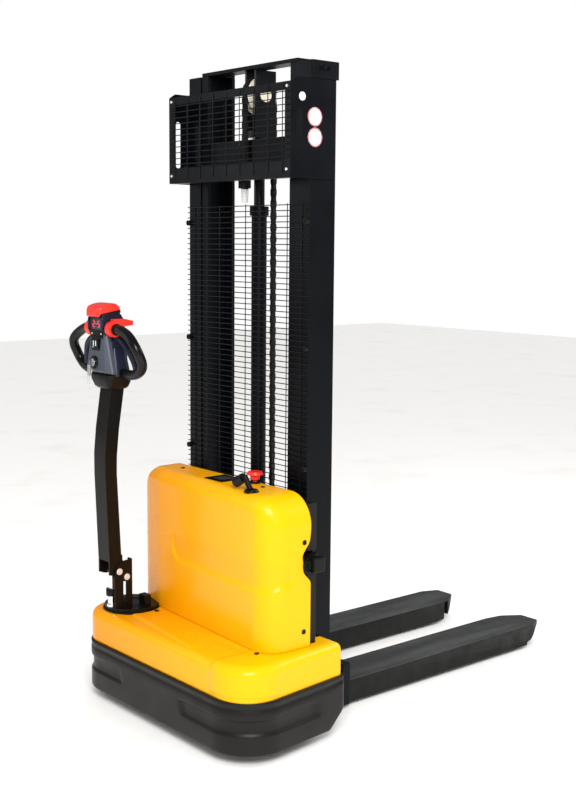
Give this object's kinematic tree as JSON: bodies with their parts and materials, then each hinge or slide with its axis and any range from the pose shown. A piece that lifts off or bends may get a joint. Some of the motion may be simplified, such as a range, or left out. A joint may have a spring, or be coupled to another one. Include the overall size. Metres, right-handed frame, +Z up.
{
  "type": "walkie stacker",
  "caption": "Pedestrian electric stacker: telescopic two-stage mast, forks over straddle legs, offset drive unit with a steering tiller.",
  "frame": {"origin": "on the floor, at the middle of the whole truck's box seen from above", "axes": "+X to the truck's right, +Y to the fork tips, +Z up"},
  "size_m": [0.9898, 1.658, 2.092],
  "materials": {
    "mast_black": "satin black powder coat",
    "fork_grey": "dark grey fork paint, worn on top",
    "cover_yellow": "yellow moulded cover, semi-gloss",
    "skirt_grey": "dark grey moulded bumper",
    "trim_black": "black moulded plastic",
    "head_grey": "grey moulded plastic with a fine grain",
    "signal_red": "red moulded plastic",
    "zinc": "bright steel",
    "wheel_rubber": "black wheel rubber",
    "roller_poly": "cream polyamide",
    "hose_rubber": "black hose",
    "battery_case": "grey battery case",
    "tank_clear": "translucent white tank"
  },
  "bodies": {
    "chassis": {"base_frame": "mast_black", "leg_left": "mast_black", "leg_right": "mast_black", "chassis_deck": "mast_black", "bumper_skirt": "skirt_grey", "lower_cover": "cover_yellow", "upper_cover": "cover_yellow", "back_panel": "skirt_grey", "cover_screws": "trim_black", "display_panel": "trim_black", "e_stop_base": "trim_black", "disconnect_socket": "trim_black", "battery_pack": "battery_case", "pump_motor": "mast_black", "oil_tank": "tank_clear", "motor_controller": "zinc", "outer_column_left": "mast_black", "outer_column_right": "mast_black", "outer_ties": "mast_black", "guard_frame": "mast_black", "guard_mesh": "mast_black", "mast_mesh": "mast_black", "mesh_clips": "mast_black", "lift_cylinder": "mast_black", "cylinder_hose": "hose_rubber", "chain_rear_run": "trim_black"},
    "inner_mast": {"inner_column_left": "mast_black", "inner_column_right": "mast_black", "inner_crossbeams": "mast_black", "piston_rod": "zinc", "chain_front_run": "trim_black"},
    "sheave": {"chain_sheave": "roller_poly"},
    "mast_roller_set": {"mast_rollers": "zinc"},
    "carriage": {"carriage_frame": "mast_black", "fork_left": "fork_grey", "fork_right": "fork_grey", "fork_heels": "mast_black"},
    "upper_roller_set": {"carriage_rollers_upper": "zinc"},
    "lower_roller_set": {"carriage_rollers_lower": "zinc"},
    "left_load_roller": {"load_roller_left": "wheel_rubber"},
    "right_load_roller": {"load_roller_right": "wheel_rubber"},
    "caster": {"caster_fork": "zinc"},
    "caster_roll": {"caster_wheel": "wheel_rubber"},
    "drive_unit": {"drive_housing": "zinc", "drive_motor": "mast_black", "steer_platform": "trim_black", "tiller_cable": "hose_rubber", "gas_spring_body": "zinc"},
    "drive_roll": {"drive_wheel": "wheel_rubber"},
    "tiller": {"tiller_arm": "trim_black", "tiller_head": "head_grey", "loop_handles": "trim_black"},
    "gas_rod": {"gas_spring_rod": "zinc"},
    "safety_cap": {"belly_button": "signal_red"},
    "throttle": {"throttle_lever": "signal_red"},
    "rocker": {"rocker_switch": "trim_black"},
    "key": {"key_set": "zinc"},
    "e_stop": {"e_stop_button": "signal_red"},
    "lever": {"lift_lever": "trim_black"},
    "plug": {"disconnect_plug": "trim_black"}
  },
  "joints": [
    {"name": "mast_lift", "type": "slide", "parent": "chassis", "child": "inner_mast", "axis": [0, 0, 1], "range_m": [0, 1.45], "deforming": ["chain_rear_run"]},
    {"name": "carriage_lift", "type": "slide", "parent": "inner_mast", "child": "carriage", "axis": [0, 0, 1], "range_m": [0, 1.45], "deforming": ["chain_front_run"]},
    {"name": "sheave_turn", "type": "hinge", "parent": "inner_mast", "child": "sheave", "pos_m": [0.002, -0.354, 2.002], "axis": [1, 0, 0], "range_deg": [-1, 1400]},
    {"name": "mast_rollers_turn", "type": "hinge", "parent": "inner_mast", "child": "mast_roller_set", "pos_m": [0.002, -0.3565, 0.13], "axis": [1, 0, 0], "continuous": true},
    {"name": "upper_rollers_turn", "type": "hinge", "parent": "carriage", "child": "upper_roller_set", "pos_m": [0.002, -0.3565, 0.54], "axis": [1, 0, 0], "continuous": true},
    {"name": "lower_rollers_turn", "type": "hinge", "parent": "carriage", "child": "lower_roller_set", "pos_m": [0.002, -0.3565, 0.17], "axis": [1, 0, 0], "continuous": true},
    {"name": "left_load_roller_turn", "type": "hinge", "parent": "chassis", "child": "left_load_roller", "pos_m": [-0.2065, 0.676, 0.037], "axis": [1, 0, 0], "continuous": true},
    {"name": "right_load_roller_turn", "type": "hinge", "parent": "chassis", "child": "right_load_roller", "pos_m": [0.2105, 0.676, 0.037], "axis": [1, 0, 0], "continuous": true},
    {"name": "caster_swivel", "type": "hinge", "parent": "chassis", "child": "caster", "pos_m": [0.332, -0.659, 0.138], "axis": [0, 0, 1], "continuous": true},
    {"name": "caster_roll", "type": "hinge", "parent": "caster", "child": "caster_roll", "pos_m": [0.332, -0.637, 0.0625], "axis": [1, 0, 0], "continuous": true},
    {"name": "steering", "type": "hinge", "parent": "chassis", "child": "drive_unit", "pos_m": [-0.283, -0.674, 0.3025], "axis": [0, 0, -1], "range_deg": [-90, 90]},
    {"name": "drive_wheel_turn", "type": "hinge", "parent": "drive_unit", "child": "drive_roll", "pos_m": [-0.283, -0.674, 0.105], "axis": [1, 0, 0], "continuous": true},
    {"name": "tiller_tilt", "type": "hinge", "parent": "drive_unit", "child": "tiller", "pos_m": [-0.283, -0.748, 0.44], "axis": [1, 0, 0], "range_deg": [0, 85], "stiffness_Nm_per_rad": 60, "springref_deg": -20.05},
    {"name": "gas_rod_slide", "type": "slide", "parent": "drive_unit", "child": "gas_rod", "axis": [0, 0, -1], "range_m": [0, 0.036]},
    {"name": "safety_cap_press", "type": "slide", "parent": "tiller", "child": "safety_cap", "axis": [0, 0, -1], "range_m": [0, 0.006], "stiffness_N_per_m": 3000, "springref_m": -0.004},
    {"name": "throttle_turn", "type": "hinge", "parent": "tiller", "child": "throttle", "pos_m": [-0.283, -0.776, 1.252], "axis": [1, 0, 0], "range_deg": [-30, 30], "stiffness_Nm_per_rad": 1.5},
    {"name": "rocker_tilt", "type": "hinge", "parent": "tiller", "child": "rocker", "pos_m": [-0.283, -0.797, 1.204], "axis": [1, 0, 0], "range_deg": [-8, 8], "stiffness_Nm_per_rad": 0.5},
    {"name": "key_turn", "type": "hinge", "parent": "tiller", "child": "key", "pos_m": [-0.287, -0.807, 1.142], "axis": [0, 1, 0], "range_deg": [0, 60]},
    {"name": "e_stop_press", "type": "slide", "parent": "chassis", "child": "e_stop", "axis": [0, 0, -1], "range_m": [0, 0.004], "stiffness_N_per_m": 3000, "springref_m": -0.003},
    {"name": "lever_turn", "type": "hinge", "parent": "chassis", "child": "lever", "pos_m": [0.27, -0.595, 0.775], "axis": [0, 0, 1], "range_deg": [0, 50]},
    {"name": "plug_pull", "type": "slide", "parent": "chassis", "child": "plug", "axis": [1, 0, 0], "range_m": [0, 0.04]}
  ],
  "couplings": [
    {"joint": "carriage_lift", "follows": "mast_lift", "ratio": 1},
    {"joint": "sheave_turn", "follows": "mast_lift", "rad_per_m": 16.667},
    {"joint": "gas_rod_slide", "follows": "tiller_tilt", "m_per_rad": 0.0236}
  ]
}
